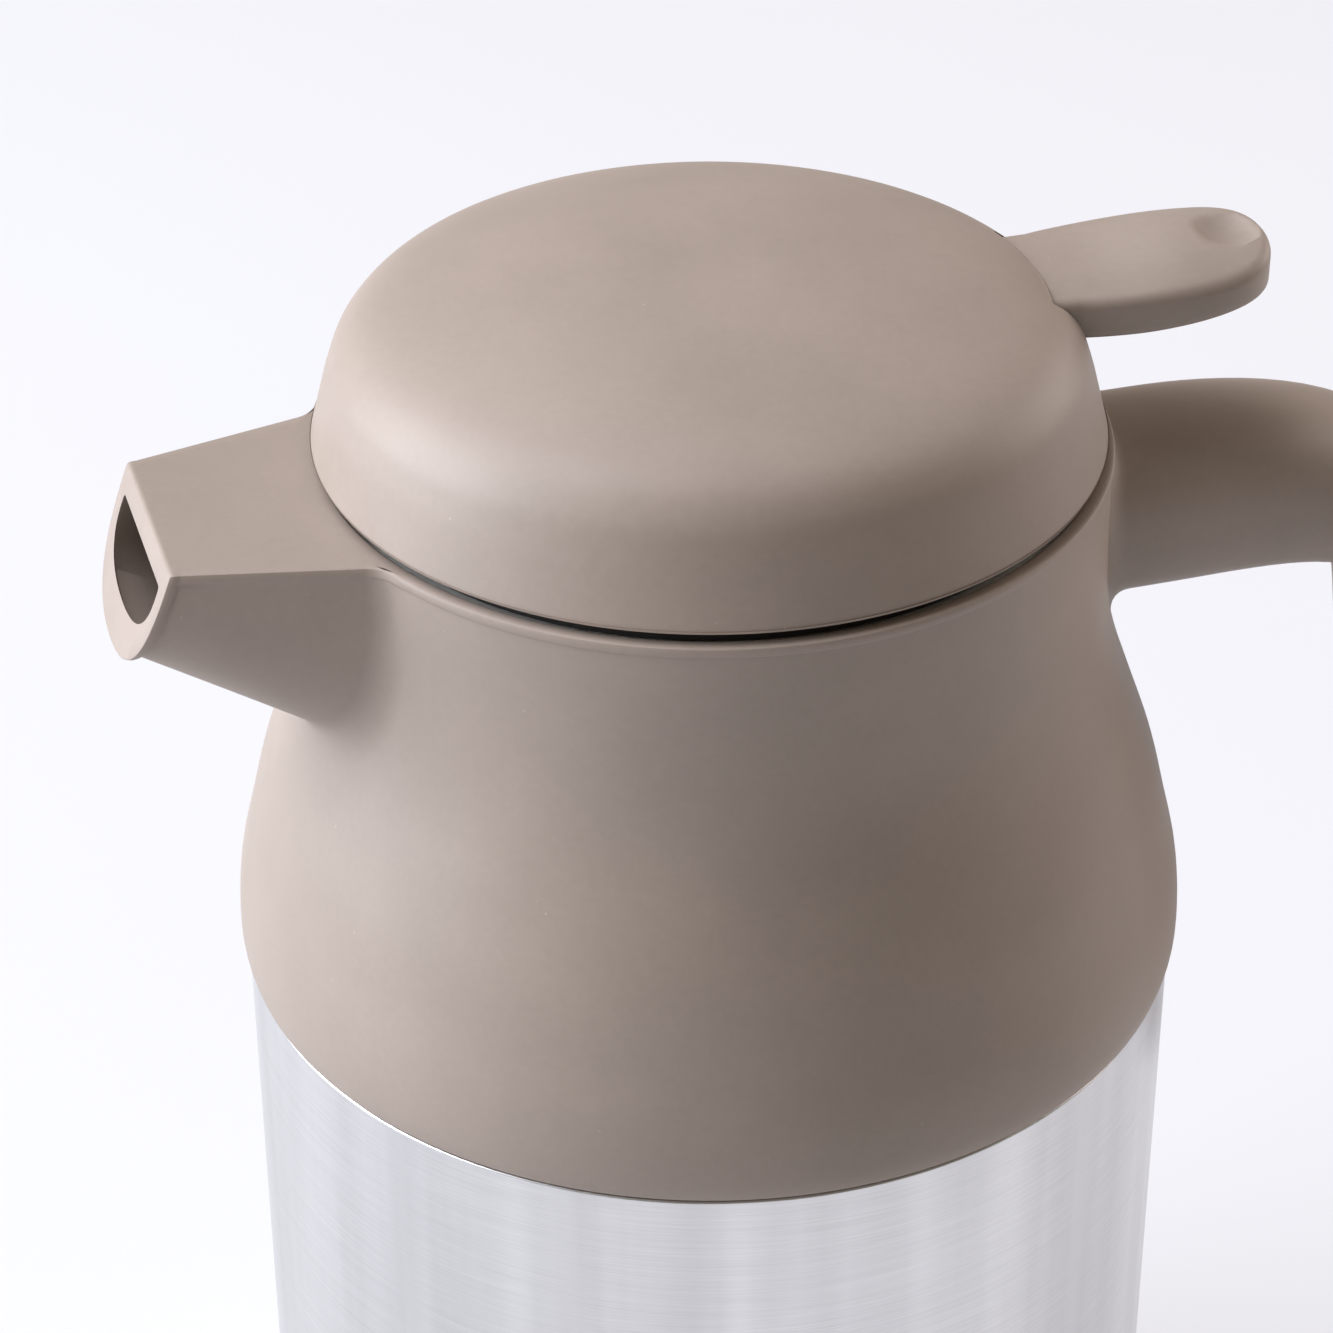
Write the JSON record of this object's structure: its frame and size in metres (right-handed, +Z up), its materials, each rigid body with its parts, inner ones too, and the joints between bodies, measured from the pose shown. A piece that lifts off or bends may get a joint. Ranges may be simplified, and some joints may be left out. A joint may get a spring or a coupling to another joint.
{
  "type": "thermal coffee pouring jug",
  "caption": "Vacuum-insulated steel jug with a moulded shoulder and beak spout, a free-ended handle and a domed screw lid whose thumb lever lifts a sprung valve.",
  "frame": {"origin": "centre of the flat resting face, under the body's axis", "axes": "+Z up along the body's axis, -X towards the spout, +X towards the handle and the thumb lever"},
  "size_m": [0.1887, 0.1198, 0.2165],
  "materials": {
    "body_steel": "satin brushed stainless steel",
    "taupe_plastic": "fine matt moulded plastic, warm taupe",
    "inner_plastic": "dark grey moulded plastic",
    "silicone": "soft off-white silicone",
    "pad_rubber": "dark matt rubber",
    "small_metal": "plain bright stainless steel"
  },
  "bodies": {
    "jug": {"outer_body_shell": "body_steel", "inner_vessel": "body_steel", "body_bottom_plate": "body_steel", "getter_pellet": "small_metal", "base_cover": "taupe_plastic", "base_pad": "pad_rubber", "shoulder_housing": "taupe_plastic", "neck_gasket": "silicone", "neck_nut": "inner_plastic", "handle_shell": "taupe_plastic", "handle_inner_cover": "taupe_plastic", "handle_cover_screw_upper": "small_metal", "handle_cover_screw_lower": "small_metal", "handle_fixing_screw": "small_metal"},
    "neck_seal": {"stopper_neck_seal": "silicone"},
    "lid": {"stopper_body": "inner_plastic", "stopper_flange_seal": "silicone", "lid_base_plate": "inner_plastic", "dome_cover": "taupe_plastic", "lever_pin": "small_metal", "dome_screw_1": "small_metal", "dome_screw_2": "small_metal", "dome_screw_3": "small_metal"},
    "lever": {"thumb_lever": "taupe_plastic"},
    "valve": {"valve_stem": "small_metal", "stem_cap": "inner_plastic", "spring_washer": "small_metal", "valve_plug": "inner_plastic", "valve_seal": "silicone", "valve_spring": "small_metal"}
  },
  "joints": [
    {"name": "lid_lift", "type": "slide", "parent": "jug", "child": "neck_seal", "axis": [0, 0, 1], "range_m": [0, 0.055]},
    {"name": "lid_turn", "type": "hinge", "parent": "neck_seal", "child": "lid", "pos_m": [0, 0, 0.16], "axis": [0, 0, 1], "range_deg": [0, 90]},
    {"name": "lever_press", "type": "hinge", "parent": "lid", "child": "lever", "pos_m": [0.03, 0, 0.2045], "axis": [0, 1, 0], "range_deg": [0, 9], "stiffness_Nm_per_rad": 0.4, "springref_deg": -5.73},
    {"name": "valve_lift", "type": "slide", "parent": "lid", "child": "valve", "axis": [0, 0, 1], "range_m": [0, 0.0047], "deforming": ["valve_spring"]}
  ],
  "couplings": [
    {"joint": "lever_press", "follows": "valve_lift", "rad_per_m": 33.3}
  ]
}
